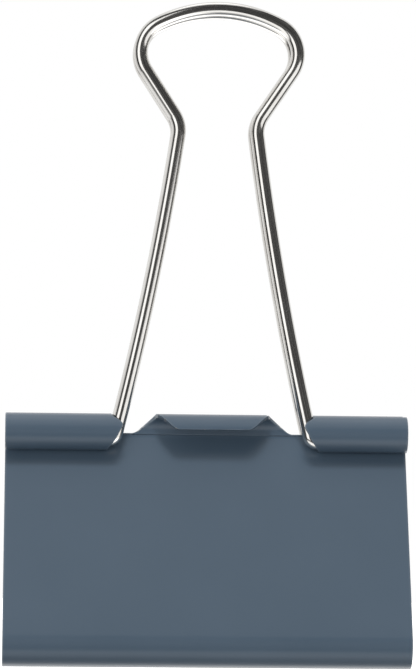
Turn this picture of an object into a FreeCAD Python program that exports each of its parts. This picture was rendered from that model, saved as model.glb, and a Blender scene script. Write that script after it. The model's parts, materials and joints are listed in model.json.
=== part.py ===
import FreeCAD, Part
import math
import os

import Sketcher

# A large spring-steel binder clip: a sheet bent into a triangle and two wire handles.
# Frame: millimetres, X along the width, +Z up, the front jaw on the -Y side.
# The origin is the centre of the spine's underside. The mouth is at the top.
#
# The sheet is one piece of steel that flexes along its two bends. It is modelled as three
# nodes, cut across the middle of each bend: the spine, the front jaw and the back jaw.

DRIVING_SIZES = {
    # The sheet
    "sheet_width": 51.0,
    "sheet_thickness": 0.45,
    "spine_depth": 25.0,  # over the outsides of the two bends
    "bend_radius": 3.0,  # outside of each bend
    "jaw_lean": 25.64,  # degrees that each jaw leans in from upright
    "bend_cut_slope": 32.2,  # degrees below level, from a bend's centre to its cut
    "mouth_gap": 0.1,  # between the closed jaws
    # The rolled edge. Turns are in degrees about the roll's centre, from the mouth side, up and over
    "roll_radius": 2.3,  # outside
    "notch_turn": -4.0,
    "barrel_turn": 284.4,
    "tongue_turn": 167.0,
    "cut_offset": 0.85,  # the notches and tongue sit this far to +X of the sheet's middle
    "barrel_start": 13.45,  # from the middle of the tongue to each barrel
    "tongue_foot_half": 9.9,
    "tongue_top_half": 7.1,
    "tongue_tip_half": 4.8,
    # The wire handles, from the pin line in the barrels
    "wire_diameter": 1.8,
    "pin_drop": 0.85,  # the wire's feet lie this far under the roll's centre
    "handle_reach": 54.75,  # to the middle of the wire at the crown
    "crown_radius": 16.6,
    "shoulder_radius": 4.2,
    "flank_slope": 33.5,  # degrees from upright
    "neck_half": 4.99,
    "neck_height": 39.15,
    "neck_radius": 3.8,
    "leg_bow_radius": 400.0,
    "foot_bend_radius": 1.1,
    "foot_bend_half": 13.4,
    "foot_end_half": 22.0,
}

# Sizes worked out from the driving ones, as expressions that FreeCAD evaluates.
BEND_Y = "(Sizes.spine_depth / 2 - Sizes.bend_radius)"
ROLL_Y = "(Sizes.roll_radius + Sizes.mouth_gap / 2)"
ROLL_Z = (
    "(Sizes.bend_radius + (Sizes.roll_radius + Sizes.bend_radius - Sizes.sheet_thickness"
    f" + ({BEND_Y} - {ROLL_Y}) * cos(Sizes.jaw_lean * 1 deg)) / sin(Sizes.jaw_lean * 1 deg))"
)
BEND_INSIDE = "(Sizes.bend_radius - Sizes.sheet_thickness)"
ROLL_INSIDE = "(Sizes.roll_radius - Sizes.sheet_thickness)"
CUT_TURN = "(180 + Sizes.bend_cut_slope)"
CUT_CLEARANCE = 1.0  # how far a cutting outline runs past the metal that it takes away

# Sketcher's names for a geometry's points, and for the sketch's own axes
START, END, CENTRE = 1, 2, 3
ORIGIN = (-1, 1)
LEVEL_AXIS, UPRIGHT_AXIS = -1, -2


def make_sizes(doc):
    """The spreadsheet that drives every body."""
    sheet = doc.addObject("Spreadsheet::Sheet", "Sizes")
    for row, (name, value) in enumerate(DRIVING_SIZES.items(), start=1):
        sheet.set(f"A{row}", name)
        sheet.set(f"B{row}", str(value))
        sheet.setAlias(f"B{row}", name)
    doc.recompute()
    return sheet


def number(sheet, text):
    """The value of an expression, in millimetres or degrees."""
    value = sheet.evalExpression(text)
    return float(getattr(value, "Value", value))


def at(centre, radius, degrees):
    """The point that far from the centre, in that direction."""
    turn = math.radians(degrees)
    return FreeCAD.Vector(centre[0] + radius * math.cos(turn), centre[1] + radius * math.sin(turn), 0)


def add_line(sketch, start, end):
    return sketch.addGeometry(Part.LineSegment(start, end))


def add_arc(sketch, centre, radius, start, end):
    """An arc that runs anticlockwise from one direction to the other, in degrees."""
    circle = Part.Circle(FreeCAD.Vector(*centre, 0), FreeCAD.Vector(0, 0, 1), radius)
    return sketch.addGeometry(Part.ArcOfCircle(circle, math.radians(start), math.radians(end)))


def bind(sketch, kind, *where, text):
    """Adds a constraint whose value is an expression on the sheet."""
    value = number(sketch.Document.Sizes, text)
    if kind == "Angle":
        value = math.radians(value)
        text = f"({text}) * 1 deg"
    index = sketch.addConstraint(Sketcher.Constraint(kind, *where, value))
    sketch.setExpression(f"Constraints[{index}]", text)


def tie(sketch, kind, *where):
    """Adds a constraint that has no value."""
    sketch.addConstraint(Sketcher.Constraint(kind, *where))


def place_point(sketch, geometry, point, across, up):
    """Holds a point at a distance across and up from the sketch's origin."""
    bind(sketch, "DistanceX", *ORIGIN, geometry, point, text=across)
    bind(sketch, "DistanceY", *ORIGIN, geometry, point, text=up)


def new_body(doc, name):
    body = doc.addObject("PartDesign::Body", name)
    body.Label = name
    return body


def new_sketch(body, name, plane, offset="0"):
    """A sketch on one of the body's own origin planes, or at an offset along its normal."""
    sketch = body.newObject("Sketcher::SketchObject", f"{body.Name}_{name}")
    support = next(o for o in body.Origin.OriginFeatures if o.Role == plane)
    sketch.AttachmentSupport = [(support, "")]
    sketch.MapMode = "FlatFace"
    sketch.setExpression("AttachmentOffset.Base.z", offset)
    return sketch


def new_pad(body, sketch, length, side="One side", backwards=False):
    pad = body.newObject("PartDesign::Pad", f"{sketch.Name}_pad")
    pad.Profile = sketch
    pad.SideType = side
    pad.Reversed = backwards
    pad.setExpression("Length", length)
    body.Document.recompute()
    return pad


def new_pocket(body, sketch, length):
    """Cuts from the sketch towards -Y, and makes sure that metal went."""
    before = body.Shape.Volume
    pocket = body.newObject("PartDesign::Pocket", f"{sketch.Name}_pocket")
    pocket.Profile = sketch
    pocket.Reversed = True
    pocket.setExpression("Length", length)
    body.Document.recompute()
    if not body.Shape.Volume < before:
        raise RuntimeError(f"{pocket.Name} cut nothing")


def draw_spine_half(sketch):
    """The front half of the spine's section: the flat, then half of the bend."""
    sheet = sketch.Document.Sizes
    centre = (-number(sheet, BEND_Y), number(sheet, "Sizes.bend_radius"))
    outer, inner = number(sheet, "Sizes.bend_radius"), number(sheet, BEND_INSIDE)
    cut, down = number(sheet, CUT_TURN), 270
    under, top = FreeCAD.Vector(0, 0, 0), FreeCAD.Vector(0, outer - inner, 0)
    outside = add_arc(sketch, centre, outer, cut, down)
    bottom = add_line(sketch, at(centre, outer, down), under)
    middle = add_line(sketch, under, top)
    inside_flat = add_line(sketch, top, at(centre, inner, down))
    inside = add_arc(sketch, centre, inner, cut, down)
    cut_face = add_line(sketch, at(centre, inner, cut), at(centre, outer, cut))
    tie(sketch, "Tangent", outside, END, bottom, START)
    tie(sketch, "Coincident", bottom, END, middle, START)
    tie(sketch, "Coincident", middle, END, inside_flat, START)
    tie(sketch, "Tangent", inside_flat, END, inside, END)
    tie(sketch, "Coincident", inside, START, cut_face, START)
    tie(sketch, "Coincident", cut_face, END, outside, START)
    tie(sketch, "Coincident", inside, CENTRE, outside, CENTRE)
    tie(sketch, "Horizontal", bottom)
    tie(sketch, "Horizontal", inside_flat)
    tie(sketch, "Vertical", middle)
    tie(sketch, "PointOnObject", middle, START, UPRIGHT_AXIS)
    tie(sketch, "PointOnObject", outside, CENTRE, cut_face)
    place_point(sketch, outside, CENTRE, f"-{BEND_Y}", "Sizes.bend_radius")
    bind(sketch, "Radius", outside, text="Sizes.bend_radius")
    bind(sketch, "Radius", inside, text=BEND_INSIDE)
    bind(sketch, "Angle", cut_face, text=CUT_TURN)


def draw_plate(sketch):
    """A jaw's section: half of the bend, the plate, and the rolled edge up to the notches."""
    sheet = sketch.Document.Sizes
    bend = (-number(sheet, BEND_Y), number(sheet, "Sizes.bend_radius"))
    roll = (-number(sheet, ROLL_Y), number(sheet, ROLL_Z))
    bend_out, bend_in = number(sheet, "Sizes.bend_radius"), number(sheet, BEND_INSIDE)
    roll_out, roll_in = number(sheet, "Sizes.roll_radius"), number(sheet, ROLL_INSIDE)
    lean = number(sheet, "Sizes.jaw_lean")
    cut, notch = number(sheet, CUT_TURN), number(sheet, "Sizes.notch_turn")
    face = 180 - lean
    outside = add_arc(sketch, bend, bend_out, face, cut)
    front = add_line(sketch, at(bend, bend_out, face), at(roll, roll_in, -lean))
    roll_inside = add_arc(sketch, roll, roll_in, -lean, notch)
    notch_face = add_line(sketch, at(roll, roll_in, notch), at(roll, roll_out, notch))
    roll_outside = add_arc(sketch, roll, roll_out, -lean, notch)
    back = add_line(sketch, at(roll, roll_out, -lean), at(bend, bend_in, face))
    inside = add_arc(sketch, bend, bend_in, face, cut)
    cut_face = add_line(sketch, at(bend, bend_in, cut), at(bend, bend_out, cut))
    tie(sketch, "Tangent", outside, START, front, START)
    tie(sketch, "Tangent", front, END, roll_inside, START)
    tie(sketch, "Coincident", roll_inside, END, notch_face, START)
    tie(sketch, "Coincident", notch_face, END, roll_outside, END)
    tie(sketch, "Tangent", roll_outside, START, back, START)
    tie(sketch, "Tangent", back, END, inside, START)
    tie(sketch, "Coincident", inside, END, cut_face, START)
    tie(sketch, "Coincident", cut_face, END, outside, END)
    tie(sketch, "Coincident", inside, CENTRE, outside, CENTRE)
    tie(sketch, "Coincident", roll_inside, CENTRE, roll_outside, CENTRE)
    tie(sketch, "PointOnObject", outside, CENTRE, cut_face)
    tie(sketch, "PointOnObject", roll_outside, CENTRE, notch_face)
    place_point(sketch, outside, CENTRE, f"-{BEND_Y}", "Sizes.bend_radius")
    bind(sketch, "DistanceX", *ORIGIN, roll_outside, CENTRE, text=f"-{ROLL_Y}")
    bind(sketch, "Radius", outside, text="Sizes.bend_radius")
    bind(sketch, "Radius", inside, text=BEND_INSIDE)
    bind(sketch, "Radius", roll_outside, text="Sizes.roll_radius")
    bind(sketch, "Radius", roll_inside, text=ROLL_INSIDE)
    bind(sketch, "Angle", back, text="-90 - Sizes.jaw_lean")
    bind(sketch, "Angle", notch_face, text="Sizes.notch_turn")
    bind(sketch, "Angle", cut_face, text=CUT_TURN)


def draw_roll(sketch, last_turn):
    """The rolled edge's section, from the notches round to its free edge."""
    sheet = sketch.Document.Sizes
    centre = (-number(sheet, ROLL_Y), number(sheet, ROLL_Z))
    outer, inner = number(sheet, "Sizes.roll_radius"), number(sheet, ROLL_INSIDE)
    first, last = number(sheet, "Sizes.notch_turn"), number(sheet, last_turn)
    outside = add_arc(sketch, centre, outer, first, last)
    free_edge = add_line(sketch, at(centre, inner, last), at(centre, outer, last))
    inside = add_arc(sketch, centre, inner, first, last)
    first_face = add_line(sketch, at(centre, inner, first), at(centre, outer, first))
    tie(sketch, "Coincident", outside, END, free_edge, END)
    tie(sketch, "Coincident", inside, END, free_edge, START)
    tie(sketch, "Coincident", outside, START, first_face, END)
    tie(sketch, "Coincident", inside, START, first_face, START)
    tie(sketch, "Coincident", inside, CENTRE, outside, CENTRE)
    tie(sketch, "PointOnObject", outside, CENTRE, free_edge)
    tie(sketch, "PointOnObject", outside, CENTRE, first_face)
    place_point(sketch, outside, CENTRE, f"-{ROLL_Y}", ROLL_Z)
    bind(sketch, "Radius", outside, text="Sizes.roll_radius")
    bind(sketch, "Radius", inside, text=ROLL_INSIDE)
    bind(sketch, "Angle", first_face, text="Sizes.notch_turn")
    bind(sketch, "Angle", free_edge, text=last_turn)


def draw_outline(sketch, corners):
    """A closed outline of straight sides, with each corner given as two expressions."""
    sheet = sketch.Document.Sizes
    points = [FreeCAD.Vector(number(sheet, across), number(sheet, up), 0) for across, up in corners]
    sides = [add_line(sketch, a, b) for a, b in zip(points, points[1:] + points[:1])]
    for side, following, (across, up) in zip(sides, sides[1:] + sides[:1], corners):
        tie(sketch, "Coincident", side, END, following, START)
        place_point(sketch, side, START, across, up)


def draw_tongue_flanks(sketch, middle, lower, upper, low_half, high_half):
    """The two corners cut off the tongue between two heights, one each side of its middle."""
    outer_half = f"(Sizes.tongue_foot_half + {CUT_CLEARANCE})"
    past_top = f"({ROLL_Z} + Sizes.roll_radius + {CUT_CLEARANCE})"
    for side in ("-", "+"):
        edge = [(low_half, lower), (high_half, upper), (high_half, past_top), (outer_half, past_top)]
        edge.append((outer_half, lower))
        draw_outline(sketch, [(f"{middle} {side} {half}", height) for half, height in edge])


def make_spine(doc):
    """The flat spine with the inner half of each bend."""
    body = new_body(doc, "spine")
    section = new_sketch(body, "section", "YZ_Plane")
    draw_spine_half(section)
    pad = new_pad(body, section, "Sizes.sheet_width", side="Symmetric")
    mirrored = body.newObject("PartDesign::Mirrored", "spine_back_half")
    mirrored.Originals = [pad]
    plane = next(o for o in body.Origin.OriginFeatures if o.Role == "XZ_Plane")
    mirrored.MirrorPlane = (plane, [""])
    body.Tip = mirrored
    return body


def make_barrel(body, name, middle, side):
    """One rolled barrel, from beside the notch out to the sheet's edge."""
    start = f"({middle} {side} Sizes.barrel_start)"
    sketch = new_sketch(body, name, "YZ_Plane", offset=start)
    draw_roll(sketch, "Sizes.barrel_turn")
    length = f"Sizes.sheet_width / 2 - ({side}1) * {start}"
    new_pad(body, sketch, length, backwards=side == "-")


def make_tongue(body, middle):
    """The curled tongue between the barrels, with its flanks cut to a taper."""
    sketch = new_sketch(body, "tongue", "YZ_Plane", offset=middle)
    draw_roll(sketch, "Sizes.tongue_turn")
    new_pad(body, sketch, "2 * Sizes.tongue_foot_half", side="Symmetric")
    top = f"({ROLL_Z} + Sizes.roll_radius)"
    notch = f"({ROLL_Z} + Sizes.roll_radius * sin(Sizes.notch_turn * 1 deg))"
    tip = f"({ROLL_Z} + Sizes.roll_radius * sin(Sizes.tongue_turn * 1 deg))"
    rising = new_sketch(body, "rising_flanks", "XZ_Plane")
    draw_tongue_flanks(rising, middle, notch, top, "Sizes.tongue_foot_half", "Sizes.tongue_top_half")
    new_pocket(body, rising, ROLL_Y)
    falling = new_sketch(body, "falling_flanks", "XZ_Plane", offset=ROLL_Y)
    below_tip = f"({tip} - Sizes.sheet_thickness)"
    draw_tongue_flanks(falling, middle, below_tip, top, "Sizes.tongue_tip_half", "Sizes.tongue_top_half")
    new_pocket(body, falling, "2 * Sizes.roll_radius")


def make_jaw(doc, name, middle, facing):
    """One jaw. It is drawn as the front jaw, and facing turns it about Z, in degrees."""
    body = new_body(doc, name)
    section = new_sketch(body, "section", "YZ_Plane")
    draw_plate(section)
    new_pad(body, section, "Sizes.sheet_width", side="Symmetric")
    make_barrel(body, "left_barrel", middle, "-")
    make_barrel(body, "right_barrel", middle, "+")
    make_tongue(body, middle)
    body.Placement = FreeCAD.Placement(FreeCAD.Vector(), FreeCAD.Rotation(facing, 0, 0))
    return body


def handle_circles(sheet):
    """The centres of the arcs along half of a handle, and the directions where they meet."""
    reach = number(sheet, "Sizes.handle_reach")
    crown_r, shoulder_r = number(sheet, "Sizes.crown_radius"), number(sheet, "Sizes.shoulder_radius")
    neck_r, bow_r = number(sheet, "Sizes.neck_radius"), number(sheet, "Sizes.leg_bow_radius")
    bend_r, slope = number(sheet, "Sizes.foot_bend_radius"), number(sheet, "Sizes.flank_slope")
    crown = FreeCAD.Vector(0, reach - crown_r, 0)
    neck = at((number(sheet, "Sizes.neck_half") + neck_r, number(sheet, "Sizes.neck_height")), 0, 0)
    bend = at((number(sheet, "Sizes.foot_bend_half"), bend_r), 0, 0)
    # The leg's centre: both arcs beside it touch the leg's circle from the inside.
    apart = (bend - neck).Length
    along = (apart**2 + (bow_r - neck_r) ** 2 - (bow_r - bend_r) ** 2) / (2 * apart)
    aside = math.sqrt((bow_r - neck_r) ** 2 - along**2)
    way = (bend - neck) / apart
    leg = neck + way * along + FreeCAD.Vector(-way.y, way.x, 0) * aside
    # The shoulder's centre: a shoulder radius inside the flank, and touching the crown's circle.
    up_flank, inwards = at((0, 0), 1, 90 - slope), at((0, 0), 1, 180 - slope)
    flank_foot = neck + inwards * neck_r
    base = flank_foot + inwards * shoulder_r - crown
    half_b = base.dot(up_flank)
    run = -half_b + math.sqrt(half_b**2 - base.dot(base) + (crown_r - shoulder_r) ** 2)
    shoulder = crown + base + up_flank * run
    return crown, shoulder, neck, leg, bend


def direction(start, end):
    """The direction from one point to another, from 0 to 360 degrees."""
    return math.degrees(math.atan2(end.y - start.y, end.x - start.x)) % 360


def draw_handle_path(sketch):
    """The wire's middle line along the +X half of a handle, from the crown down to the foot."""
    sheet = sketch.Document.Sizes
    crown_at, shoulder_at, neck_at, leg_at, bend_at = handle_circles(sheet)
    slope = number(sheet, "Sizes.flank_slope")
    crown_r, shoulder_r = number(sheet, "Sizes.crown_radius"), number(sheet, "Sizes.shoulder_radius")
    neck_r, bow_r = number(sheet, "Sizes.neck_radius"), number(sheet, "Sizes.leg_bow_radius")
    bend_r, foot_end = number(sheet, "Sizes.foot_bend_radius"), number(sheet, "Sizes.foot_end_half")
    over, under = direction(crown_at, shoulder_at), direction(leg_at, neck_at)
    sole = direction(leg_at, bend_at)
    crown = add_arc(sketch, (crown_at.x, crown_at.y), crown_r, over, 90)
    shoulder = add_arc(sketch, (shoulder_at.x, shoulder_at.y), shoulder_r, -slope, over)
    flank_top = at((shoulder_at.x, shoulder_at.y), shoulder_r, -slope)
    flank_foot = at((neck_at.x, neck_at.y), neck_r, 180 - slope)
    flank = add_line(sketch, flank_top, flank_foot)
    neck = add_arc(sketch, (neck_at.x, neck_at.y), neck_r, 180 - slope, under)
    leg = add_arc(sketch, (leg_at.x, leg_at.y), bow_r, under, sole)
    bend = add_arc(sketch, (bend_at.x, bend_at.y), bend_r, sole, 270)
    foot = add_line(sketch, FreeCAD.Vector(bend_at.x, 0, 0), FreeCAD.Vector(foot_end, 0, 0))
    tie(sketch, "Tangent", crown, START, shoulder, END)
    tie(sketch, "Tangent", shoulder, START, flank, START)
    tie(sketch, "Tangent", flank, END, neck, START)
    tie(sketch, "Tangent", neck, END, leg, START)
    tie(sketch, "Tangent", leg, END, bend, START)
    tie(sketch, "Tangent", bend, END, foot, START)
    tie(sketch, "PointOnObject", crown, CENTRE, UPRIGHT_AXIS)
    tie(sketch, "PointOnObject", crown, END, UPRIGHT_AXIS)
    tie(sketch, "Horizontal", foot)
    tie(sketch, "PointOnObject", foot, END, LEVEL_AXIS)
    bind(sketch, "DistanceY", *ORIGIN, crown, END, text="Sizes.handle_reach")
    bind(sketch, "Radius", crown, text="Sizes.crown_radius")
    bind(sketch, "Radius", shoulder, text="Sizes.shoulder_radius")
    bind(sketch, "Angle", flank, text="-90 - Sizes.flank_slope")
    bind(sketch, "Radius", neck, text="Sizes.neck_radius")
    place_point(sketch, neck, CENTRE, "Sizes.neck_half + Sizes.neck_radius", "Sizes.neck_height")
    bind(sketch, "Radius", leg, text="Sizes.leg_bow_radius")
    bind(sketch, "Radius", bend, text="Sizes.foot_bend_radius")
    bind(sketch, "DistanceX", *ORIGIN, bend, CENTRE, text="Sizes.foot_bend_half")
    bind(sketch, "DistanceX", *ORIGIN, foot, END, text="Sizes.foot_end_half")


def draw_wire(sketch):
    """The wire's round section, at the crown."""
    sheet = sketch.Document.Sizes
    centre = FreeCAD.Vector(0, number(sheet, "Sizes.handle_reach"), 0)
    radius = number(sheet, "Sizes.wire_diameter / 2")
    circle = sketch.addGeometry(Part.Circle(centre, FreeCAD.Vector(0, 0, 1), radius))
    tie(sketch, "PointOnObject", circle, CENTRE, UPRIGHT_AXIS)
    bind(sketch, "DistanceY", *ORIGIN, circle, CENTRE, text="Sizes.handle_reach")
    bind(sketch, "Radius", circle, text="Sizes.wire_diameter / 2")


def make_handle(doc, name, facing):
    """One wire handle, standing upright on its pin line. facing is -1 in front and +1 behind."""
    body = new_body(doc, name)
    path = new_sketch(body, "path", "XZ_Plane")
    draw_handle_path(path)
    wire = new_sketch(body, "wire", "YZ_Plane")
    draw_wire(wire)
    doc.recompute()
    pipe = body.newObject("PartDesign::AdditivePipe", f"{name}_half")
    pipe.Profile = wire
    pipe.Spine = path
    doc.recompute()
    mirrored = body.newObject("PartDesign::Mirrored", f"{name}_other_half")
    mirrored.Originals = [pipe]
    plane = next(o for o in body.Origin.OriginFeatures if o.Role == "YZ_Plane")
    mirrored.MirrorPlane = (plane, [""])
    body.Tip = mirrored
    body.setExpression("Placement.Base.x", "Sizes.cut_offset")
    body.setExpression("Placement.Base.y", f"{facing} * {ROLL_Y}")
    body.setExpression("Placement.Base.z", f"{ROLL_Z} - Sizes.pin_drop")
    return body


def check_document(doc):
    """Stops at any object that failed to compute."""
    for item in doc.Objects:
        if "Invalid" in item.State or "Error" in item.State:
            raise RuntimeError(f"{item.Name} failed: {item.State}")


def export_bodies(bodies):
    """Writes each body, as one valid solid, to parts/LABEL.step."""
    os.makedirs("parts", exist_ok=True)
    for body in bodies:
        shape = body.Shape
        if shape.isNull() or not shape.isValid() or len(shape.Solids) != 1:
            raise RuntimeError(f"{body.Label} is not one valid solid")
    for body in bodies:
        body.Shape.exportStep(f"parts/{body.Label}.step")
        box = body.Shape.BoundBox
        print(f"{body.Label}: {body.Shape.Volume:.2f} mm3, X {box.XMin:.2f} to {box.XMax:.2f},"
              f" Y {box.YMin:.2f} to {box.YMax:.2f}, Z {box.ZMin:.2f} to {box.ZMax:.2f}")


def main():
    doc = FreeCAD.newDocument("binder_clip")
    sheet = make_sizes(doc)
    bodies = [
        make_spine(doc),
        make_jaw(doc, "front_jaw", "Sizes.cut_offset", 0),
        make_jaw(doc, "back_jaw", "-Sizes.cut_offset", 180),
        make_handle(doc, "front_handle", -1),
        make_handle(doc, "back_handle", 1),
    ]
    doc.recompute()
    check_document(doc)
    export_bodies(bodies)
    print(f"roll centre: Y {number(sheet, ROLL_Y):.4f}, Z {number(sheet, ROLL_Z):.4f}")


main()
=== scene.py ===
import json
import math

import bmesh
import bpy
from mathutils import Matrix, Vector


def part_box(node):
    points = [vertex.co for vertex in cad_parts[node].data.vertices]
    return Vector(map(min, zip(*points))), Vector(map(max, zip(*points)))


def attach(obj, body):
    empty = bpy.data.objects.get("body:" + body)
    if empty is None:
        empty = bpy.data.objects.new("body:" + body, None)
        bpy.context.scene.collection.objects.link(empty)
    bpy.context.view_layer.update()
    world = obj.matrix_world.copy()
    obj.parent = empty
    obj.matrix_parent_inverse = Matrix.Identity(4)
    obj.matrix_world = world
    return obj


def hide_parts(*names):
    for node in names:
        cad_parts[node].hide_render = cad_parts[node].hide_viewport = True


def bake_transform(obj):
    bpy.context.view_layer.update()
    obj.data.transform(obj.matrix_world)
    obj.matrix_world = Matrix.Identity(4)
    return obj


# A large spring-steel binder clip. Metres, X along the width, +Z up, the front jaw on the -Y side.
# The painted body is drawn flat, as the blank that the press cuts out of strip, and then bent and
# rolled to shape. It is made in two halves that meet along the middle of the spine.

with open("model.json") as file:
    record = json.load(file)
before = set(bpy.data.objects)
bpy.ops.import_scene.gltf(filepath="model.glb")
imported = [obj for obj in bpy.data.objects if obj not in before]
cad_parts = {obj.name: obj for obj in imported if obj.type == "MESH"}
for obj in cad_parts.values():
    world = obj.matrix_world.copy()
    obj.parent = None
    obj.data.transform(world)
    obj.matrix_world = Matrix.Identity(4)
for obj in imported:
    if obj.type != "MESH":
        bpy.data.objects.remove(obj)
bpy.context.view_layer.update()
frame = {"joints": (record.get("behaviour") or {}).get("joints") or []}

MM = 0.001
joints = {joint["name"]: joint for joint in frame["joints"]}
pin = Vector(joints["front_handle_swing"]["pos_m"])
hinge = Vector(joints["front_jaw_flex"]["pos_m"])

# ---------------------------------------------------------------- the sheet's sizes

THICKNESS = 0.45 * MM
HALF_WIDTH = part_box("front_jaw")[1].x
LEAN = math.radians(25.64)  # each jaw leans in from upright by this
BEND_RADIUS = 3.0 * MM  # outside
ROLL_RADIUS = 2.3 * MM  # outside
BEND_CUT = math.radians(32.2)  # the hinge is this far below level from the bend's centre
PIN_DROP = 0.85 * MM  # the hinge pins lie this far under the roll's centre
CUT_OFFSET = pin.x  # the notches and tongue sit this far off the sheet's middle

BEND_Y = hinge.y + BEND_RADIUS * math.cos(BEND_CUT)
BEND_Z = hinge.z + BEND_RADIUS * math.sin(BEND_CUT)
ROLL_Y = pin.y
ROLL_Z = pin.z + PIN_DROP
BEND_MIDDLE = BEND_RADIUS - THICKNESS / 2  # radii of the middle of the sheet's thickness
ROLL_MIDDLE = ROLL_RADIUS - THICKNESS / 2

# The blank, measured along the sheet from the middle of the spine
FLAT_END = -BEND_Y
BEND_END = FLAT_END + BEND_MIDDLE * (math.pi / 2 + LEAN)
PLATE_FOOT = Vector((BEND_Y - BEND_MIDDLE * math.cos(LEAN), BEND_Z + BEND_MIDDLE * math.sin(LEAN)))
PLATE_TOP = Vector((ROLL_Y + ROLL_MIDDLE * math.cos(LEAN), ROLL_Z - ROLL_MIDDLE * math.sin(LEAN)))
PLATE_END = BEND_END + (PLATE_TOP - PLATE_FOOT).length

NOTCH_TURN = -4.0  # turns about the roll's centre, in degrees, from the mouth side, up and over
TONGUE_TURN = 167.0
BARREL_TURN = 284.4
TONGUE_FOOT, TONGUE_TOP, TONGUE_TIP = 9.9 * MM, 7.1 * MM, 4.8 * MM  # half widths

# (turn in degrees, half the distance between the barrels in mm): each end comes to a blunt point that
# the legs ride over
BARREL_ENDS = (
    (-4, 13.4), (20, 13.2), (66, 12.85), (114, 12.8), (149, 11.4), (196, 12.3), (238, 13.3), (285, 13.45),
)
BLUNTING = [7.0 * share for share in (-1, -0.5, 0, 0.5, 1)]  # degrees over which those ends are averaged

NOTCH_CORNER = 0.7 * MM  # beside the barrels
TONGUE_CORNER = 0.35 * MM
FREE_CORNER = 0.45 * MM
SHEAR_ROUND = 0.07 * MM  # rounding of the sheared edges
RIM = 0.28 * MM  # how far in from a sheared edge its own strip of faces reaches
BLANK_UNIT = 10 * MM  # one unit of the blank's texture space

# How many faces the blank is cut into
SPINE_ROWS, BEND_ROWS, PLATE_ROWS, ROLL_ROWS = 5, 30, 14, 5
BARREL_COLUMNS, NOTCH_COLUMNS, TONGUE_COLUMNS = 7, 3, 12
LOBE_ROW = 0.24 * MM
CORNER_TURNS = (0, 22, 40, 58, 75, 90)  # degrees round each rounded corner
SHEAR_SEGMENTS = 3

RIM_WEAR_AND_HIGHLIGHT = 0.8  # a rounded rim's share of worn paint and of the painted edge highlight, next to 1 on the sheared face beside it
HAIR = 0.001 * MM  # a length that counts as nothing


def blank_at(turn):
    """How far along the blank a turn about the roll's centre lies."""
    return PLATE_END + ROLL_MIDDLE * (math.radians(turn) + LEAN)


def turn_at(along):
    return math.degrees((along - PLATE_END) / ROLL_MIDDLE - LEAN)


def bent(along, proud):
    """The Y and Z of a point on the bent blank. proud is its height over the middle, towards the outside."""
    if along <= FLAT_END:
        return -along, BEND_Z - BEND_MIDDLE - proud
    if along <= BEND_END:
        turn = -math.pi / 2 - (along - FLAT_END) / BEND_MIDDLE
        radius = BEND_MIDDLE + proud
        return BEND_Y + radius * math.cos(turn), BEND_Z + radius * math.sin(turn)
    if along <= PLATE_END:
        share = (along - BEND_END) / (PLATE_END - BEND_END)
        middle = PLATE_FOOT.lerp(PLATE_TOP, share)
        return middle.x - proud * math.cos(LEAN), middle.y + proud * math.sin(LEAN)
    turn = math.radians(turn_at(along))
    radius = ROLL_MIDDLE - proud
    return ROLL_Y + radius * math.cos(turn), ROLL_Z + radius * math.sin(turn)


def between(knots, where):
    """The value at a place along a run of (place, value) knots."""
    for (start, low), (end, high) in zip(knots, knots[1:]):
        if where <= end:
            share = max(0.0, (where - start) / (end - start))
            return low + (high - low) * share
    return knots[-1][1]


def fillet(distance, radius):
    """How far a quarter-round corner stands out at a distance from where it starts."""
    if distance >= radius:
        return 0.0
    return radius - math.sqrt(max(0.0, radius**2 - (radius - distance) ** 2))


def barrel_half(along):
    """Half the distance between the barrels, at a place along the blank."""
    turn = turn_at(along)
    samples = [between(BARREL_ENDS, turn + shift) for shift in BLUNTING]
    half = sum(samples) / len(samples) * MM
    from_notch, from_end = along - blank_at(NOTCH_TURN), blank_at(BARREL_TURN) - along
    return half - fillet(from_notch, NOTCH_CORNER) + fillet(from_end, FREE_CORNER)


def tongue_half(along):
    """Half the tongue's width, at a place along the blank."""
    turn = turn_at(along)
    top, notch, tip = blank_at(90), blank_at(NOTCH_TURN), blank_at(TONGUE_TURN)
    height = math.sin(math.radians(turn))
    if turn < 90:
        foot_height = math.sin(math.radians(NOTCH_TURN))
        half = TONGUE_FOOT + (TONGUE_TOP - TONGUE_FOOT) * (height - foot_height) / (1 - foot_height)
    else:
        drop = (1 - height) / (1 - math.sin(math.radians(TONGUE_TURN)))
        half = TONGUE_TOP + (TONGUE_TIP - TONGUE_TOP) * (drop + (along - top) / (tip - top)) / 2
    return half + fillet(along - notch, TONGUE_CORNER) - fillet(tip - along, FREE_CORNER)


# ---------------------------------------------------------------- cutting and bending the blank


def steps(start, end, count, rims=(False, False)):
    """Evenly spaced places from start to end, with one more close to each end that is a sheared edge."""
    sign = 1 if end > start else -1
    places = [start + (end - start) * i / count for i in range(count + 1)]
    if rims[0]:
        places.insert(1, start + sign * RIM)
    if rims[1]:
        places.insert(-1, end - sign * RIM)
    return places


def corner_steps(radius):
    """Distances from a rounded corner's start, close together where it turns most."""
    return [radius * (1 - math.cos(math.radians(turn))) for turn in CORNER_TURNS]


def lobe_rows(last_turn):
    """Places along the blank above the notches, up to a lobe's free edge."""
    start, end = blank_at(NOTCH_TURN), blank_at(last_turn)
    rows = [start + step for step in corner_steps(NOTCH_CORNER)]
    count = round((end - start) / LOBE_ROW)
    rows += [place for place in steps(start, end, count) if rows[-1] < place < end - FREE_CORNER]
    return rows + [end - step for step in reversed(corner_steps(FREE_CORNER))]


def base_rows():
    """Places along the blank from the middle of the spine up to the notches."""
    rows = steps(0, FLAT_END, SPINE_ROWS)[:-1]
    rows += steps(FLAT_END, BEND_END, BEND_ROWS)[:-1]
    rows += steps(BEND_END, PLATE_END, PLATE_ROWS)[:-1]
    rows += steps(PLATE_END, blank_at(NOTCH_TURN), ROLL_ROWS, rims=(False, True))
    return rows


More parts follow.
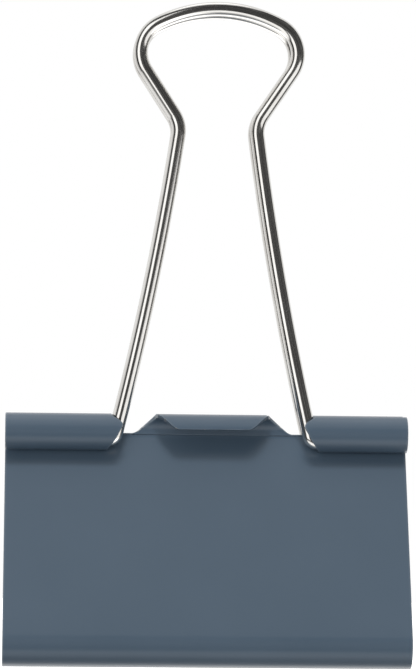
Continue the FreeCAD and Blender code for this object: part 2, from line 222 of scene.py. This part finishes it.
class Blank:
    """The flat sheet: two layers of corners, with X across, Y along and Z through the thickness."""

    def __init__(self):
        self.mesh = bmesh.new()
        self.under = {}

    def corner(self, across, along):
        top = self.mesh.verts.new((across, along, THICKNESS / 2))
        self.under[top] = self.mesh.verts.new((across, along, -THICKNESS / 2))
        return top

    def fill(self, rows):
        """Faces between rows of corners, on both layers."""
        for low, high in zip(rows, rows[1:]):
            for a, b, c, d in zip(low, low[1:], high[1:], high):
                self.mesh.faces.new((a, b, c, d))
                self.mesh.faces.new([self.under[v] for v in (d, c, b, a)])

    def wall(self):
        """The sheared faces round the outline, with their two rims rounded, except at the spine's middle."""
        outline = [e for e in self.mesh.edges if len(e.link_faces) == 1 and e.verts[0] in self.under]
        rims = []
        for edge in outline:
            a, b = edge.verts
            self.mesh.faces.new((a, b, self.under[b], self.under[a]))
            if a.co.y > 0 or b.co.y > 0:
                rims += [edge, self.mesh.edges.get((self.under[a], self.under[b]))]
        bmesh.ops.recalc_face_normals(self.mesh, faces=self.mesh.faces)
        bmesh.ops.bevel(
            self.mesh, geom=rims, offset=SHEAR_ROUND, offset_type="OFFSET", segments=SHEAR_SEGMENTS,
            profile=0.5, affect="EDGES", clamp_overlap=True,
        )


def cut_blank(middle):
    """The flat half sheet, with its tongue and barrels centred on the given X."""
    blank = Blank()
    notch = blank_at(NOTCH_TURN)
    gap, foot = barrel_half(notch), tongue_half(notch)
    spans = [
        (-HALF_WIDTH, middle - gap, BARREL_COLUMNS, (True, True)),
        (middle - gap, middle - foot, NOTCH_COLUMNS, (False, False)),
        (middle - foot, middle + foot, TONGUE_COLUMNS, (True, True)),
        (middle + foot, middle + gap, NOTCH_COLUMNS, (False, False)),
        (middle + gap, HALF_WIDTH, BARREL_COLUMNS, (True, True)),
    ]
    columns, starts = [], []
    for start, end, count, rims in spans:
        places = steps(start, end, count, rims)
        starts.append(len(columns))
        columns += places[:-1]
    columns.append(HALF_WIDTH)
    starts.append(len(columns) - 1)
    rows = [[blank.corner(x, along) for x in columns] for along in base_rows()]
    blank.fill(rows)

    def lobe(span, last_turn, edges):
        """A barrel or the tongue, above the notches. edges gives its left and right at a place along."""
        grid = [rows[-1][starts[span]:starts[span + 1] + 1]]
        _, _, count, rims = spans[span]
        for along in lobe_rows(last_turn)[1:]:
            left, right = edges(along)
            grid.append([blank.corner(x, along) for x in steps(left, right, count, rims)])
        blank.fill(grid)

    left_barrel, tongue, right_barrel = 0, 2, 4  # their places among the spans
    lobe(left_barrel, BARREL_TURN, lambda along: (-HALF_WIDTH, middle - barrel_half(along)))
    lobe(tongue, TONGUE_TURN, lambda along: (middle - tongue_half(along), middle + tongue_half(along)))
    lobe(right_barrel, BARREL_TURN, lambda along: (middle + barrel_half(along), HALF_WIDTH))
    blank.wall()
    return blank.mesh


def sheared_share(vertex):
    """1 on a sheared face, less on its rounded rims, and 0 on the sheet's two faces."""
    inside = THICKNESS / 2 - HAIR
    if abs(vertex.co.z) < inside and vertex.co.y > 0:
        return 1.0
    if any(abs(edge.other_vert(vertex).co.z) < inside for edge in vertex.link_edges):
        return RIM_WEAR_AND_HIGHLIGHT
    return 0.0


def shape_sheet(name, middle, facing):
    """One half of the body. It is drawn as the front half and turned about Z by facing, in degrees."""
    flat = cut_blank(middle)
    side = 1 if facing == 0 else -1  # the two halves lie end to end in the texture space
    shares = [sheared_share(vertex) for vertex in flat.verts]
    space = flat.loops.layers.uv.new("blank")
    for face in flat.faces:
        face.smooth = True
        for loop in face.loops:
            across, along, _ = loop.vert.co
            loop[space].uv = (side * across / BLANK_UNIT, side * along / BLANK_UNIT)
    for vertex in flat.verts:
        across, along, proud = vertex.co
        vertex.co = (across, *bent(along, proud))
    flat.transform(Matrix.Rotation(math.radians(facing), 4, "Z"))
    mesh = bpy.data.meshes.new(name)
    flat.to_mesh(mesh)
    flat.free()
    # the sheared share, which the paint reads for worn edges and for a painted edge highlight
    sheared_layer = mesh.attributes.new("sheared", "FLOAT", "POINT")
    sheared_layer.data.foreach_set("value", shares)
    piece = bpy.data.objects.new(name, mesh)
    bpy.context.scene.collection.objects.link(piece)
    return piece


# ---------------------------------------------------------------- the wire handles

WIRE_RADIUS = 0.9 * MM
HANDLE_TILT = math.radians(0.28)  # play in the barrels lets a handle stand this far off square
HANDLE_LIFT = 0.03 * MM
REACH = 54.75 * MM  # from the pin line to the middle of the wire at the crown
CROWN_RADIUS, SHOULDER_RADIUS = 16.6 * MM, 4.2 * MM
FLANK_SLOPE = math.radians(33.5)
NECK_HALF, NECK_HEIGHT, NECK_RADIUS = 4.99 * MM, 39.15 * MM, 3.8 * MM
LEG_BOW = 400 * MM
FOOT_BEND_RADIUS, FOOT_BEND_HALF, FOOT_END_HALF = 1.1 * MM, 13.4 * MM, 22.0 * MM
HEEL_DIP, HEEL_RISE = 0.2 * MM, math.radians(20)  # the heel sags under the foot and rises into the barrel
WIRE_UNIT = 10 * MM  # one unit of the wire's texture space

WIRE_SIDES = 28
CROWN_STEP, TURN_STEP, LEG_STEP, HEEL_STEP = 0.8 * MM, 0.35 * MM, 1.6 * MM, 0.16 * MM  # between rings
LAST_STEP = 1.0 * MM  # the last straight piece of a foot
LEAST_STEP = 0.02 * MM
FOOT_FACE = (WIRE_RADIUS * 0.02, WIRE_RADIUS * 0.5)  # radii of the rings on a foot's end
END_ROUND = 0.16 * MM  # rounding of a foot's end
END_RINGS = ((0.0, 1.0), (0.13, 0.5), (0.5, 0.13), (1.0, 0.0))  # (depth, shyness) as shares of it


def direction(turn):
    return Vector((math.cos(turn), math.sin(turn)))


def arc_centres():
    """The centres of the arcs along the +X half of a handle: crown, shoulder, neck, leg and foot bend."""
    crown = Vector((0, REACH - CROWN_RADIUS))
    neck = Vector((NECK_HALF + NECK_RADIUS, NECK_HEIGHT))
    bend = Vector((FOOT_BEND_HALF, FOOT_BEND_RADIUS - HEEL_DIP))
    apart = (bend - neck).length
    along = (apart**2 + (LEG_BOW - NECK_RADIUS) ** 2 - (LEG_BOW - FOOT_BEND_RADIUS) ** 2) / (2 * apart)
    aside = math.sqrt((LEG_BOW - NECK_RADIUS) ** 2 - along**2)
    way = (bend - neck) / apart
    leg = neck + way * along + Vector((-way.y, way.x)) * aside
    up_flank, inwards = direction(math.pi / 2 - FLANK_SLOPE), direction(math.pi - FLANK_SLOPE)
    base = neck + inwards * (NECK_RADIUS + SHOULDER_RADIUS) - crown
    half_b = base.dot(up_flank)
    spare = (CROWN_RADIUS - SHOULDER_RADIUS) ** 2
    run = -half_b + math.sqrt(half_b**2 - base.dot(base) + spare)
    shoulder = crown + base + up_flank * run
    return crown, shoulder, neck, leg, bend


def arc(centre, radius, start, end, most):
    """Points along an arc, at most that far apart."""
    count = max(3, math.ceil(abs(end - start) * radius / most))
    return [centre + direction(start + (end - start) * i / count) * radius for i in range(count + 1)]


def heading(start, end):
    way = end - start
    return math.atan2(way.y, way.x) % (2 * math.pi)


def handle_line():
    """The wire's middle line, from the end of one foot round to the other, in X and height."""
    crown, shoulder, neck, leg, bend = arc_centres()
    over, under, sole = heading(crown, shoulder), heading(leg, neck), heading(leg, bend)
    half = arc(crown, CROWN_RADIUS, math.pi / 2, over, CROWN_STEP)
    half += arc(shoulder, SHOULDER_RADIUS, over, -FLANK_SLOPE, TURN_STEP)
    half += arc(neck, NECK_RADIUS, math.pi - FLANK_SLOPE, under, TURN_STEP)
    half += arc(leg, LEG_BOW, under, sole, LEG_STEP)
    half += arc(bend, FOOT_BEND_RADIUS, sole, 1.5 * math.pi + HEEL_RISE, HEEL_STEP)
    half.append(Vector((half[-1].x - half[-1].y / math.tan(HEEL_RISE), 0)))
    half.append(Vector((FOOT_END_HALF - LAST_STEP, 0)))
    half.append(Vector((FOOT_END_HALF, 0)))
    whole = [Vector((-p.x, p.y)) for p in reversed(half)] + half
    line = whole[:1]
    for point in whole[1:]:
        if (point - line[-1]).length > LEAST_STEP:
            line.append(point)
    return line


def wire_rings(line):
    """Each ring's middle, its outward way in the handle's plane, its radius and its place along the wire."""
    rings, travelled = [], 0.0
    for i, point in enumerate(line):
        before, after = line[max(0, i - 1)], line[min(len(line) - 1, i + 1)]
        forwards = (after - before).normalized()
        travelled += (point - before).length
        rings.append((point, Vector((-forwards.y, forwards.x)), WIRE_RADIUS, travelled))
    for end in (0, -1):
        point, outwards, _, place = rings[end]
        inwards = Vector((outwards.y, -outwards.x)) * (1 if end == 0 else -1)
        cap = [(point, outwards, radius, place) for radius in FOOT_FACE]
        for depth, shyness in END_RINGS:
            middle = point + inwards * END_ROUND * depth
            cap.append((middle, outwards, WIRE_RADIUS - END_ROUND * shyness, place))
        if end == 0:
            rings[:1] = cap
        else:
            rings[-1:] = cap[::-1]
    return rings


def shape_handle(name, body, facing):
    """One wire handle, standing on its pin line. facing is -1 in front and +1 behind."""
    wire = bmesh.new()
    space = wire.loops.layers.uv.new("wire")
    rings = wire_rings(handle_line())
    turns = [2 * math.pi * i / WIRE_SIDES for i in range(WIRE_SIDES)]
    loops = []
    for middle, outwards, radius, _ in rings:
        flat, aside = Vector((outwards.x, 0, outwards.y)), Vector((0, 1, 0))
        centre = Vector((middle.x, 0, middle.y))
        spokes = [(flat * math.cos(turn) + aside * math.sin(turn)) * radius for turn in turns]
        loops.append([wire.verts.new(centre + spoke) for spoke in spokes])
    girth = 2 * math.pi * WIRE_RADIUS
    for ring in range(len(loops) - 1):
        for side in range(WIRE_SIDES):
            after = (side + 1) % WIRE_SIDES
            low, high = loops[ring], loops[ring + 1]
            face = wire.faces.new((low[side], low[after], high[after], high[side]))
            face.smooth = True
            places = ((side, ring), (side + 1, ring), (side + 1, ring + 1), (side, ring + 1))
            for loop, (across, row) in zip(face.loops, places):
                loop[space].uv = (across / WIRE_SIDES * girth / WIRE_UNIT, rings[row][3] / WIRE_UNIT)
    wire.faces.new(loops[0][::-1])
    wire.faces.new(loops[-1])
    bmesh.ops.recalc_face_normals(wire, faces=wire.faces)
    stand = Matrix.Translation((pin.x, facing * abs(pin.y), pin.z + HANDLE_LIFT))
    wire.transform(stand @ Matrix.Rotation(HANDLE_TILT, 4, "Y"))
    mesh = bpy.data.meshes.new(name)
    wire.to_mesh(mesh)
    wire.free()
    piece = bpy.data.objects.new(name, mesh)
    bpy.context.scene.collection.objects.link(piece)
    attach(piece, body)
    return piece


# ---------------------------------------------------------------- finishes


class Amount:
    """A node's output. Arithmetic on it adds Math nodes to its tree."""

    def __init__(self, finish, socket):
        self.finish, self.socket = finish, socket

    def math(self, operation, *values):
        return self.finish.node("Math", {"operation": operation}, dict(enumerate(values)))

    def __add__(self, other):
        return self.math("ADD", self, other)

    def __sub__(self, other):
        return self.math("SUBTRACT", self, other)

    def __rsub__(self, other):
        return self.math("SUBTRACT", other, self)

    def __mul__(self, other):
        return self.math("MULTIPLY", self, other)

    def __truediv__(self, other):
        return self.math("DIVIDE", self, other)

    __radd__, __rmul__ = __add__, __mul__

    def output(self, name):
        return Amount(self.finish, self.socket.node.outputs[name])

    def eased(self, start, end):
        """0 before start, 1 after end and a smooth rise between them."""
        settings = {"interpolation_type": "SMOOTHSTEP", "clamp": True}
        return self.finish.node("MapRange", settings, {"Value": self, "From Min": start, "From Max": end})


class Finish:
    """A node tree, and the one way that nodes are added to it."""

    MIX_SHARE, MIX_LOW, MIX_HIGH, MIX_RESULT = 0, 6, 7, 2  # the Mix node's sockets for colours

    def __init__(self, tree):
        self.tree = tree
        tree.nodes.clear()

    def node(self, kind, settings=None, inputs=None, output=0):
        made = self.tree.nodes.new("ShaderNode" + kind)
        for name, value in (settings or {}).items():
            setattr(made, name, value)
        for name, value in (inputs or {}).items():
            if isinstance(value, Amount):
                self.tree.links.new(value.socket, made.inputs[name])
            else:
                made.inputs[name].default_value = value
        return Amount(self, made.outputs[output]) if made.outputs else None

    def mix(self, share, low, high):
        """A colour between two others."""
        settings = {"data_type": "RGBA", "clamp_factor": True}
        inputs = {self.MIX_SHARE: share, self.MIX_LOW: low, self.MIX_HIGH: high}
        return self.node("Mix", settings, inputs, output=self.MIX_RESULT)

    def noise(self, place, scale, detail=2.0, roughness=0.5):
        inputs = {"Vector": place, "Scale": scale, "Detail": detail, "Roughness": roughness}
        return self.node("TexNoise", None, inputs)

    def stretched(self, place, scale):
        return self.node("Mapping", None, {"Vector": place, "Scale": scale})


def new_finish(name):
    material = bpy.data.materials.new(name)
    material.use_nodes = True
    return material, Finish(material.node_tree)


PAINT_DEEP, PAINT_FULL = (0.059, 0.092, 0.130, 1), (0.075, 0.111, 0.154, 1)
# the lighter edge colour stands partly for worn paint and partly for a painted highlight
THIN_PAINT_AND_HIGHLIGHT, BARE_STEEL = (0.17, 0.21, 0.25, 1), (0.56, 0.56, 0.55, 1)
NICKEL_DULL, NICKEL_CLEAR = (0.73, 0.71, 0.68, 1), (0.80, 0.79, 0.76, 1)
NICKEL_PIT = (0.36, 0.34, 0.31, 1)
FLOOR_GREY, WHITE = (0.80, 0.80, 0.80, 1), (1.0, 1.0, 1.0, 1)


def slate_paint():
    """Satin slate-blue enamel on spring steel. The sheared edges are lighter, partly worn paint and partly a
    painted highlight, and a few chips there show steel.
    """
    material, finish = new_finish("slate_paint")
    place = finish.node("UVMap", {"uv_map": "blank"})
    sheared = finish.node("Attribute", {"attribute_name": "sheared"}).output("Fac")
    cloud = finish.noise(place, scale=0.9, detail=3.0)
    speckle = finish.noise(place, scale=55.0, roughness=0.6)
    peel = finish.noise(place, scale=26.0, roughness=0.45)
    scratch = finish.noise(finish.stretched(place, (3.0, 60.0, 1.0)), scale=1.0)
    chips = finish.noise(place, scale=9.0, detail=5.0, roughness=0.65).eased(0.55, 0.66)

    enamel = finish.mix(cloud * 0.7 + speckle * 0.3, PAINT_DEEP, PAINT_FULL)
    # painted highlight: the sheared edges are lightened, partly as worn paint and partly as a highlight
    # painted along them
    edge_paint_and_highlight = finish.mix(sheared * 0.4, enamel, THIN_PAINT_AND_HIGHLIGHT)
    bare = sheared.eased(0.55, 1.0) * chips
    colour = finish.mix(bare, edge_paint_and_highlight, BARE_STEEL)
    roughness = 0.34 + (cloud - 0.5) * 0.10 + (speckle - 0.5) * 0.06 - sheared * 0.08
    height = peel * 0.8 + speckle * 0.2 + scratch * 0.08 - bare * 1.2
    relief = finish.node("Bump", None, {"Strength": 0.09, "Distance": 0.05 * MM, "Height": height})
    surface = finish.node("BsdfPrincipled", None, {
        "Base Color": colour, "Roughness": roughness, "Metallic": bare * 0.9, "Normal": relief,
        "Coat Weight": 0.10, "Coat Roughness": 0.18, "IOR": 1.48,
    })
    finish.node("OutputMaterial", None, {"Surface": surface})
    return material


def bright_nickel():
    """Nickel plate on drawn wire: near mirror, with faint drawing lines along it and small pits."""
    material, finish = new_finish("bright_nickel")
    place = finish.node("UVMap", {"uv_map": "wire"})
    lines = finish.noise(finish.stretched(place, (42.0, 0.7, 1.0)), scale=1.0, roughness=0.6)
    mottle = finish.noise(finish.stretched(place, (5.0, 2.2, 1.0)), scale=1.0, detail=3.0, roughness=0.6)
    pits = finish.noise(place, scale=75.0, detail=1.0).eased(0.66, 0.74)
    plate = finish.mix(mottle.eased(0.35, 0.7), NICKEL_DULL, NICKEL_CLEAR)
    colour = finish.mix(pits * 0.35, plate, NICKEL_PIT)
    roughness = 0.07 + lines * 0.07 + mottle * 0.04 + pits * 0.12
    height = lines * 0.6 + mottle * 0.8 - pits * 0.5
    relief = finish.node("Bump", None, {"Strength": 0.12, "Distance": 0.02 * MM, "Height": height})
    surface = finish.node("BsdfPrincipled", None, {
        "Base Color": colour, "Roughness": roughness, "Metallic": 1.0, "Normal": relief,
    })
    finish.node("OutputMaterial", None, {"Surface": surface})
    return material


def studio_floor():
    """Pale paper, bright enough to look white."""
    material, finish = new_finish("studio_floor")
    surface = finish.node("BsdfPrincipled", None, {
        "Base Color": FLOOR_GREY, "Roughness": 0.8,
        "Emission Color": WHITE, "Emission Strength": 0.75,
    })
    finish.node("OutputMaterial", None, {"Surface": surface})
    return material


# ---------------------------------------------------------------- the studio

FLOOR_RADIUS, FLOOR_SIDES = 0.5, 96
FLOOR_LEVEL = pin.z - REACH - 2 * WIRE_RADIUS

CAMERA_PLACE = (-22.1 * MM, -425 * MM, 38.56 * MM)
CAMERA_SIDE, CAMERA_RISE, CAMERA_TILT = math.radians(3.0), math.radians(0.40), math.radians(0.67)
CAMERA_LENS, CAMERA_SENSOR = 178.8, 36.0
CLIP_START, CLIP_END = 0.01, 50

DEGREE = math.pi / 180
SOFT = 3  # degrees over which the side of a window fades
LIGHTS_AIM = (0, 0, 0.03)


def lay_floor():
    """A pale floor, just below the lowest reach of the folded handles. It shows in no gloss."""
    disc = bmesh.new()
    bmesh.ops.create_circle(disc, cap_ends=True, radius=FLOOR_RADIUS, segments=FLOOR_SIDES)
    mesh = bpy.data.meshes.new("floor")
    disc.to_mesh(mesh)
    disc.free()
    floor = bpy.data.objects.new("floor", mesh)
    floor.location.z = FLOOR_LEVEL
    bpy.context.scene.collection.objects.link(floor)
    mesh.materials.append(studio_floor())
    floor.visible_glossy = False
    floor.visible_diffuse = False
    return floor


def window(value, start, end, soft=SOFT):
    """1 between two angles, 0 outside them and a smooth change at each."""
    return value.eased(start - soft, start + soft) * (1 - value.eased(end - soft, end + soft))


def light_studio():
    """What the gloss meets: white behind and overhead, windows in front, and a pale ground. Angles are
    in degrees, round from the front, with the right positive, or up from level. The camera sees white."""
    world = bpy.data.worlds.new("studio")
    bpy.context.scene.world = world
    world.use_nodes = True
    studio = Finish(world.node_tree)
    way = studio.node("TexCoord", None, None, output="Generated")
    parts = studio.node("SeparateXYZ", None, {0: way})
    across, ahead, up = parts.output("X"), parts.output("Y"), parts.output("Z")
    turn = across.math("ARCTAN2", across, ahead * -1) / DEGREE
    high = up.math("ARCSINE", up) / DEGREE

    behind = turn.eased(104, 112) + (1 - turn.eased(-120, -112)) + window(turn, -116, -92) * 0.75
    overhead = high.eased(68, 75)
    tall = window(turn, -56, -20) * window(high, -20, 45)
    upper = window(turn, -50, -11) * window(high, 17, 46)
    left = tall.math("MAXIMUM", tall, upper)
    right = window(turn, 20, 70) * (1 - high.eased(-5, -2))
    ground = 1 - high.eased(-34, -26)
    clutter = studio.noise(way, scale=7.0, detail=3.0, roughness=0.6).eased(0.42, 0.70)
    glow = 0.035 + clutter * 0.14 + behind * 0.85 + overhead * 0.80
    glow = glow + left * 1.3 + right * 1.1 + ground * 0.95

    rays = studio.node("LightPath")
    seen, scattered = rays.output("Is Camera Ray"), rays.output("Is Diffuse Ray")
    underneath = 1 - (1 - high.eased(-78, -52)) * 0.7  # darker straight below
    shade = 1 - scattered * (1 - high.eased(-10, 2)) * 0.5  # less of the ground for matt surfaces
    sheen = window(high, -55, -30, soft=6) * (1 - scattered) * 0.25  # and a little more for gloss
    shown = (glow * underneath * shade + sheen) * (1 - seen) + seen
    light = studio.node("Background", None, {"Color": WHITE, "Strength": shown})
    studio.node("OutputWorld", None, {"Surface": light})


def soft_light(name, place, size, watts, aim, lit, glossy=False):
    """A soft light that falls on the given pieces only. If glossy, it shows in their gloss too."""
    lamp = bpy.data.lights.new(name, "AREA")
    lamp.shape, lamp.size, lamp.size_y, lamp.energy = "RECTANGLE", size[0], size[1], watts
    holder = bpy.data.objects.new(name, lamp)
    holder.location = place
    holder.rotation_mode = "QUATERNION"
    holder.rotation_quaternion = (Vector(aim) - Vector(place)).to_track_quat("-Z", "Y")
    receivers = bpy.data.collections.new(f"{name}_falls_on")
    for piece in lit:
        receivers.objects.link(piece)
    holder.light_linking.receiver_collection = receivers
    holder.visible_glossy = glossy
    bpy.context.scene.collection.objects.link(holder)


def place_camera():
    """Just under half way up the clip, a little to its left, and looking nearly level."""
    lens = bpy.data.cameras.new("camera")
    lens.sensor_width, lens.lens = CAMERA_SENSOR, CAMERA_LENS
    lens.clip_start, lens.clip_end = CLIP_START, CLIP_END
    camera = bpy.data.objects.new("camera", lens)
    flat = Vector((math.sin(CAMERA_SIDE), math.cos(CAMERA_SIDE), 0))
    ahead = flat * math.cos(CAMERA_RISE) + Vector((0, 0, math.sin(CAMERA_RISE)))
    level = Vector((math.cos(CAMERA_SIDE), -math.sin(CAMERA_SIDE), 0))
    upright = level.cross(ahead)
    right = level * math.cos(CAMERA_TILT) + upright * math.sin(CAMERA_TILT)
    top = upright * math.cos(CAMERA_TILT) - level * math.sin(CAMERA_TILT)
    turn = Matrix((right, top, -ahead)).transposed()
    camera.matrix_world = Matrix.Translation(CAMERA_PLACE) @ turn.to_4x4()
    bpy.context.scene.collection.objects.link(camera)
    bpy.context.scene.camera = camera


bpy.context.scene.view_settings.view_transform = "Standard"
place_camera()
light_studio()
floor = lay_floor()

paint, nickel = slate_paint(), bright_nickel()

front_sheet = shape_sheet("front_sheet", CUT_OFFSET, 0)
back_sheet = shape_sheet("back_sheet", -CUT_OFFSET, 180)
for sheet, jaw, sign in ((front_sheet, "front_jaw", 1), (back_sheet, "back_jaw", -1)):
    sheet.data.materials.append(paint)
    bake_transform(sheet)
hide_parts("spine", "front_jaw")
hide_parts("back_jaw")

for name, facing in (("front", -1), ("back", 1)):
    handle = shape_handle(f"{name}_wire", f"{name}_handle", facing)
    handle.data.materials.append(nickel)
    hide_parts(f"{name}_handle")

# The wires are lit by the studio alone
sheets = (front_sheet, back_sheet)
soft_light("key", (-0.03, -0.56, 0.86), (0.25, 0.16), 3.8, LIGHTS_AIM, sheets)
soft_light("tent", (0, -0.47, 0.91), (0.93, 0.73), 1.6, LIGHTS_AIM, sheets, glossy=True)
soft_light("fill", (0.1, -1.0, 0.05), (1.0, 0.5), 3.7, LIGHTS_AIM, sheets)
soft_light("floor_light", (0, 0, 1.5), (1.0, 1.0), 10.0, (0, 0, 0), (floor,))
